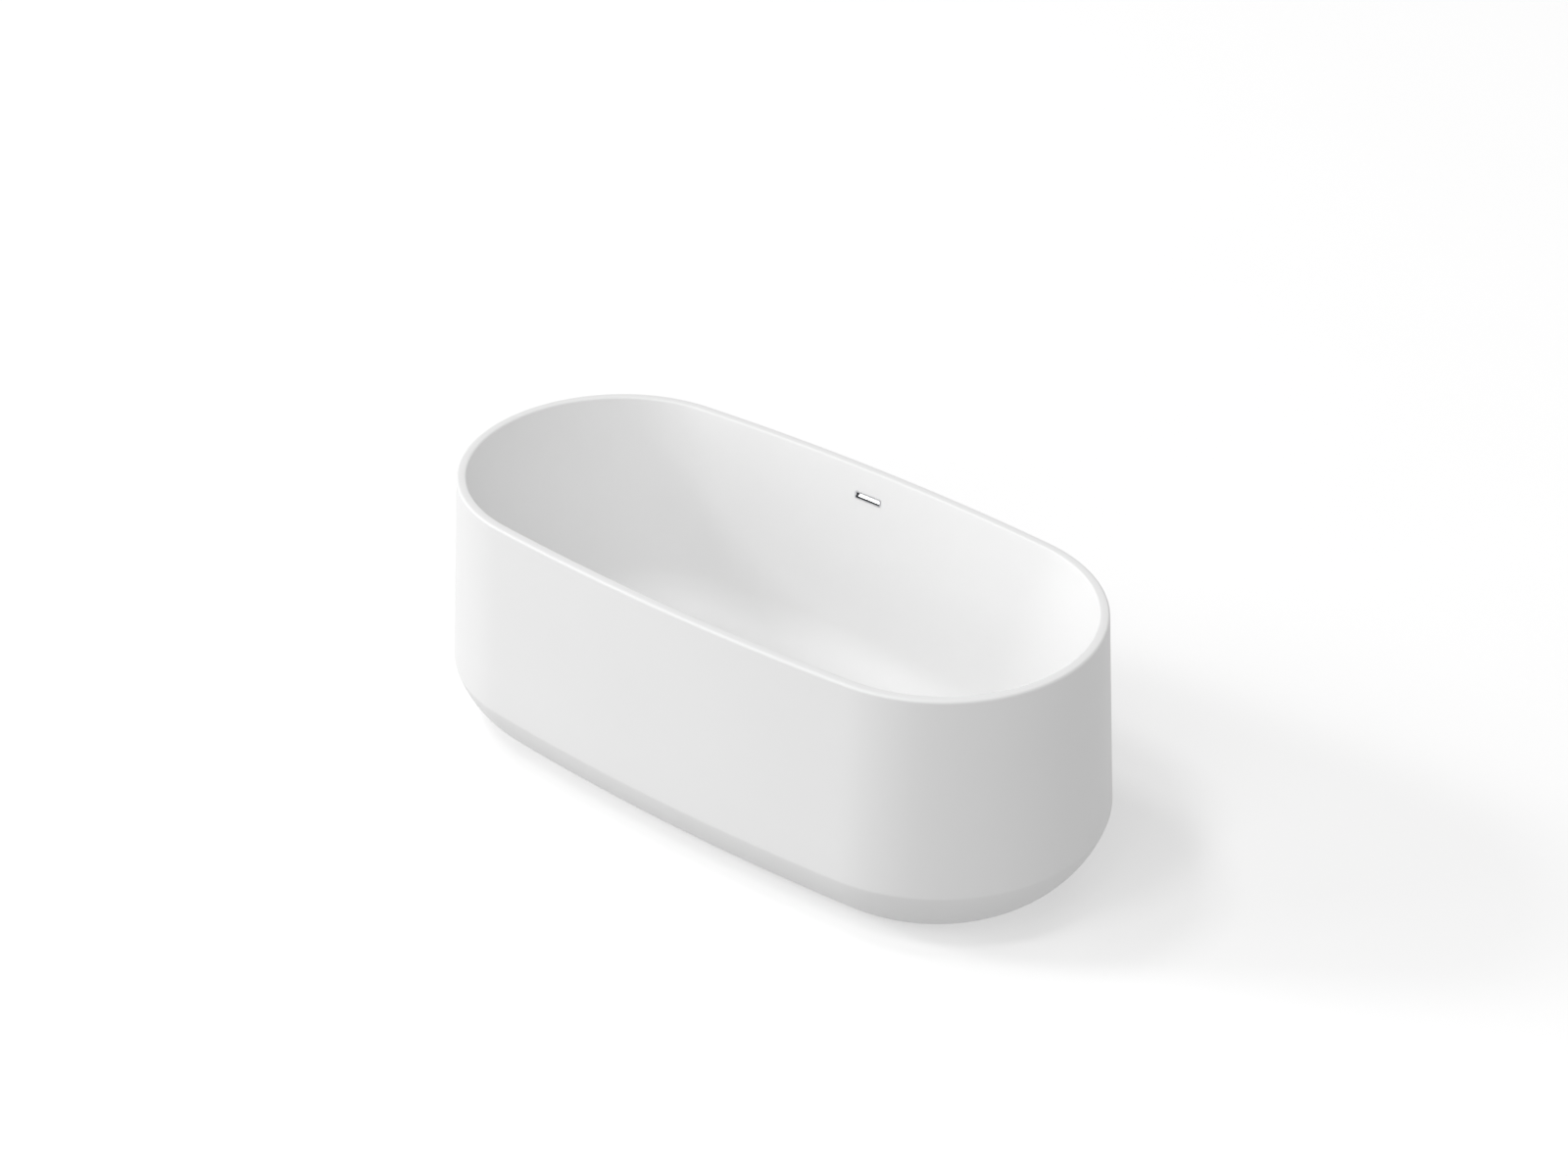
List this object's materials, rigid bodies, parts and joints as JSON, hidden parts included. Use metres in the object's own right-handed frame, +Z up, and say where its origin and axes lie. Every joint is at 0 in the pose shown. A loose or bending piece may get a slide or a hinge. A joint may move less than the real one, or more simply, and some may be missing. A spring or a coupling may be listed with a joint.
{
  "type": "freestanding bathtub",
  "caption": "Freestanding oval double-shell bathtub with a flared skirt, an undercut foot, a slot overflow in the back wall and a toe-tap centre waste.",
  "frame": {"origin": "on the floor, at the middle of the tub's plan", "axes": "+X along the length to the right, +Y from the front to the overflow side, +Z up"},
  "size_m": [1.65, 0.8, 0.6],
  "materials": {
    "acrylic": "satin",
    "plywood": "raw",
    "painted_steel": "powder coated",
    "zinc_steel": "zinc plated",
    "chrome": "polished",
    "brass": "machined",
    "rubber": "matte",
    "grey_plastic": "moulded",
    "hose_plastic": "ribbed"
  },
  "bodies": {
    "tub": {"basin": "acrylic", "skirt": "acrylic", "base_board_left": "plywood", "base_board_right": "plywood", "long_rail_front": "painted_steel", "long_rail_back": "painted_steel", "cross_rail_left": "painted_steel", "cross_rail_right": "painted_steel", "rail_screws": "zinc_steel", "frame_bolts": "zinc_steel", "frame_nuts": "zinc_steel", "foot_weld_nuts": "zinc_steel", "foot_lock_nuts": "zinc_steel", "bond_blocks": "plywood", "bracket_screws": "zinc_steel", "overflow_trim": "chrome", "overflow_gasket": "rubber", "overflow_body": "grey_plastic", "overflow_hose": "hose_plastic", "hose_clamps": "zinc_steel", "drain_flange": "chrome", "toe_tap_cartridge": "brass", "drain_gasket": "rubber", "drain_shoe": "grey_plastic", "slip_nut": "grey_plastic", "slip_washer": "rubber", "tailpiece": "chrome", "bracket_front_left": "zinc_steel", "bracket_front_right": "zinc_steel", "bracket_back_left": "zinc_steel", "bracket_back_right": "zinc_steel"},
    "plug": {"drain_plug": "chrome", "plug_seal": "rubber", "plug_stem": "brass"},
    "foot_front_left": {"pad_front_left": "rubber", "stud_front_left": "zinc_steel"},
    "foot_front_right": {"pad_front_right": "rubber", "stud_front_right": "zinc_steel"},
    "foot_back_left": {"pad_back_left": "rubber", "stud_back_left": "zinc_steel"},
    "foot_back_right": {"pad_back_right": "rubber", "stud_back_right": "zinc_steel"}
  },
  "joints": [
    {"name": "plug_lift", "type": "slide", "parent": "tub", "child": "plug", "axis": [0, 0, 1], "range_m": [0, 0.009]},
    {"name": "foot_level_front_left", "type": "slide", "parent": "tub", "child": "foot_front_left", "axis": [0, 0, 1], "range_m": [-0.015, 0.003]},
    {"name": "foot_level_front_right", "type": "slide", "parent": "tub", "child": "foot_front_right", "axis": [0, 0, 1], "range_m": [-0.015, 0.003]},
    {"name": "foot_level_back_left", "type": "slide", "parent": "tub", "child": "foot_back_left", "axis": [0, 0, 1], "range_m": [-0.015, 0.003]},
    {"name": "foot_level_back_right", "type": "slide", "parent": "tub", "child": "foot_back_right", "axis": [0, 0, 1], "range_m": [-0.015, 0.003]}
  ]
}
